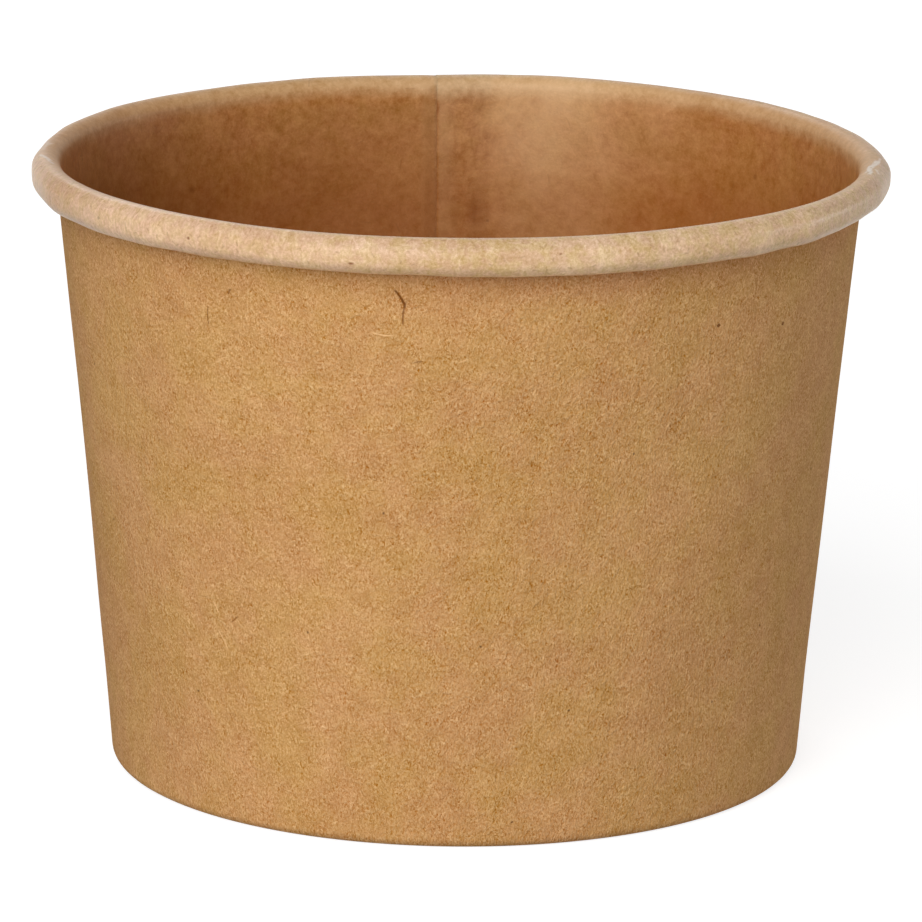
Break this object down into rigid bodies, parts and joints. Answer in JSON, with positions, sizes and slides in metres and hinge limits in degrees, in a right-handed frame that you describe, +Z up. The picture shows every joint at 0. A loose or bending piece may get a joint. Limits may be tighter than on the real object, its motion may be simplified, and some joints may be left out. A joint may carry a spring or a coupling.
{
  "type": "paper soup cup",
  "caption": "Round tapered paperboard soup cup with a rolled rim, a lapped side seam and a recessed bottom held by a turned-up hem.",
  "frame": {"origin": "centre of the ring the cup stands on, at the standing surface", "axes": "+Z up along the cup's axis, +Y toward the lapped side seam, +X to the right seen from the front"},
  "size_m": [0.09, 0.09, 0.0654],
  "materials": {
    "wall_board": "matte",
    "bottom_board": "satin"
  },
  "bodies": {
    "root": {"side_wall": "wall_board", "bottom_disc": "bottom_board"}
  },
  "joints": []
}
